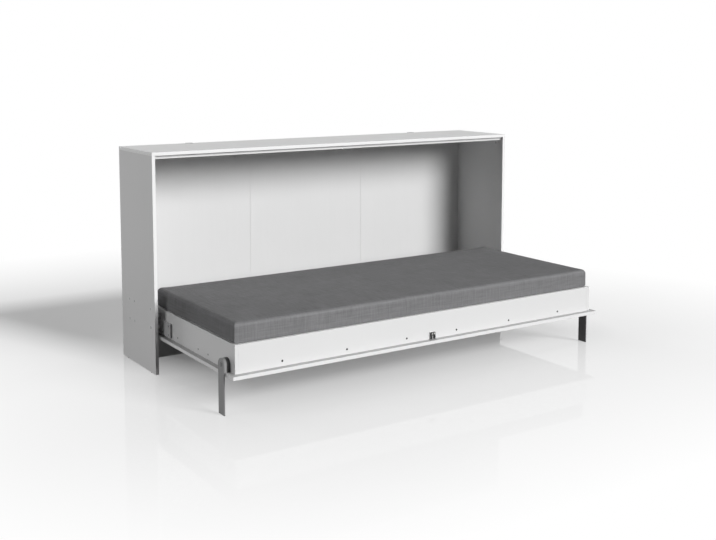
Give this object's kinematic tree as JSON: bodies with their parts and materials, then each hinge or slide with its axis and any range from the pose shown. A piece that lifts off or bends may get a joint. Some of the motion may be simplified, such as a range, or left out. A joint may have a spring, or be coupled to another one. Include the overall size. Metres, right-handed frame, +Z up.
{
  "type": "wall bed",
  "caption": "Single bed that folds down sideways from a low open-fronted cabinet, with fold-out legs, a slatted base and a mattress.",
  "frame": {"origin": "on the floor, under the middle of the footprint with the bed folded down", "axes": "+X along the cabinet to the right as seen from the bed's free side, +Y back to the wall, +Z up"},
  "size_m": [2.14, 1.179, 1.0552],
  "materials": {
    "white_board": "chipboard faced with white melamine, low sheen",
    "back_sheet": "thin hardboard lacquered white",
    "white_plastic": "moulded white plastic",
    "black_plastic": "moulded black plastic",
    "zinc_steel": "zinc-plated pressed steel",
    "dark_steel": "blackened steel fixings",
    "grey_painted_steel": "grey powder-coated steel",
    "spring_steel": "bright coiled spring steel",
    "zinc_casting": "die-cast cam discs",
    "beech_dowel": "fluted beech dowels",
    "pine_batten": "planed softwood",
    "slat_wood": "planed softwood slats",
    "tape_cloth": "woven slat tape",
    "mattress_cloth": "dark grey stretch cover",
    "roller_nylon": "hard nylon rollers",
    "glide_rubber": "hard rubber glides"
  },
  "bodies": {
    "cabinet": {"side_panel_left": "white_board", "side_panel_right": "white_board", "top_panel": "white_board", "stop_rail": "white_board", "back_panel_left": "back_sheet", "back_panel_centre": "back_sheet", "back_panel_right": "back_sheet", "back_joint_strips": "white_plastic", "lower_cross_board": "white_board", "lower_rear_rail": "white_board", "cabinet_dowels": "beech_dowel", "cam_discs": "zinc_casting", "cam_bolts": "zinc_steel", "cabinet_screws": "zinc_steel", "floor_glides": "glide_rubber", "wall_brackets": "zinc_steel", "hinge_plate_left": "zinc_steel", "hinge_plate_right": "zinc_steel", "plate_bolts": "dark_steel", "hinge_pins": "dark_steel", "hinge_spacers": "white_plastic", "hinge_rings": "dark_steel", "spring_anchors": "zinc_steel", "strike_plate": "zinc_steel"},
    "bed": {"base_panel": "white_board", "front_rail": "white_board", "rear_rail": "white_board", "end_board_left": "white_board", "end_board_right": "white_board", "batten_front": "pine_batten", "batten_rear": "pine_batten", "end_battens": "pine_batten", "centre_beam": "pine_batten", "slats": "slat_wood", "slat_tapes": "tape_cloth", "frame_screws": "dark_steel", "batten_screws": "zinc_steel", "hinge_bracket_left": "zinc_steel", "hinge_bracket_right": "zinc_steel", "fitting_screws": "dark_steel", "spring_pins": "zinc_steel", "leg_block_left": "grey_painted_steel", "leg_block_right": "grey_painted_steel", "leg_pins": "dark_steel", "catch_base": "black_plastic", "catch_pins": "zinc_steel", "catch_screws": "zinc_steel", "mattress": "mattress_cloth"},
    "rear_yoke_left": {"rear_yoke_left": "dark_steel", "springs_left": "spring_steel"},
    "rear_yoke_right": {"rear_yoke_right": "dark_steel", "springs_right": "spring_steel"},
    "front_yoke_left": {"front_yoke_left": "dark_steel"},
    "front_yoke_right": {"front_yoke_right": "dark_steel"},
    "leg_left": {"leg_left": "grey_painted_steel"},
    "leg_right": {"leg_right": "grey_painted_steel"},
    "catch_arm_left": {"catch_arm_left": "black_plastic"},
    "catch_arm_right": {"catch_arm_right": "black_plastic"},
    "catch_roller_left": {"catch_roller_left": "roller_nylon"},
    "catch_roller_right": {"catch_roller_right": "roller_nylon"}
  },
  "joints": [
    {"name": "bed_tilt", "type": "hinge", "parent": "cabinet", "child": "bed", "pos_m": [0, 0.2225, 0.221], "axis": [-1, 0, 0], "range_deg": [0, 90], "deforming": ["springs_left", "springs_right"]},
    {"name": "leg_left_swing", "type": "hinge", "parent": "bed", "child": "leg_left", "pos_m": [-1.0485, -0.4895, 0.215], "axis": [-1, 0, 0], "range_deg": [-90, 0]},
    {"name": "rear_yoke_left_turn", "type": "hinge", "parent": "cabinet", "child": "rear_yoke_left", "pos_m": [-1.04, 0.4745, 0.25], "axis": [-1, 0, 0], "range_deg": [-12.94, 0]},
    {"name": "front_yoke_left_turn", "type": "hinge", "parent": "bed", "child": "front_yoke_left", "pos_m": [-1.04, 0.2225, 0.271], "axis": [-1, 0, 0], "range_deg": [-102.94, 0]},
    {"name": "catch_arm_left_swing", "type": "hinge", "parent": "bed", "child": "catch_arm_left", "pos_m": [-0.00875, -0.5683, 0.19], "axis": [0, -1, 0], "range_deg": [0, 8], "stiffness_Nm_per_rad": 1.5},
    {"name": "catch_roller_left_spin", "type": "hinge", "parent": "catch_arm_left", "child": "catch_roller_left", "pos_m": [-0.00625, -0.5683, 0.211], "axis": [0, -1, 0], "continuous": true},
    {"name": "leg_right_swing", "type": "hinge", "parent": "bed", "child": "leg_right", "pos_m": [1.0485, -0.4895, 0.215], "axis": [-1, 0, 0], "range_deg": [-90, 0]},
    {"name": "rear_yoke_right_turn", "type": "hinge", "parent": "cabinet", "child": "rear_yoke_right", "pos_m": [1.04, 0.4745, 0.25], "axis": [-1, 0, 0], "range_deg": [-12.94, 0]},
    {"name": "front_yoke_right_turn", "type": "hinge", "parent": "bed", "child": "front_yoke_right", "pos_m": [1.04, 0.2225, 0.271], "axis": [-1, 0, 0], "range_deg": [-102.94, 0]},
    {"name": "catch_arm_right_swing", "type": "hinge", "parent": "bed", "child": "catch_arm_right", "pos_m": [0.00875, -0.5683, 0.19], "axis": [0, 1, 0], "range_deg": [0, 8], "stiffness_Nm_per_rad": 1.5},
    {"name": "catch_roller_right_spin", "type": "hinge", "parent": "catch_arm_right", "child": "catch_roller_right", "pos_m": [0.00625, -0.5683, 0.211], "axis": [0, 1, 0], "continuous": true}
  ],
  "couplings": [
    {"joint": "leg_left_swing", "follows": "bed_tilt", "ratio": -1},
    {"joint": "rear_yoke_left_turn", "follows": "bed_tilt", "ratio": -0.14371},
    {"joint": "front_yoke_left_turn", "follows": "bed_tilt", "ratio": -1.1437},
    {"joint": "leg_right_swing", "follows": "bed_tilt", "ratio": -1},
    {"joint": "rear_yoke_right_turn", "follows": "bed_tilt", "ratio": -0.14371},
    {"joint": "front_yoke_right_turn", "follows": "bed_tilt", "ratio": -1.1437}
  ]
}
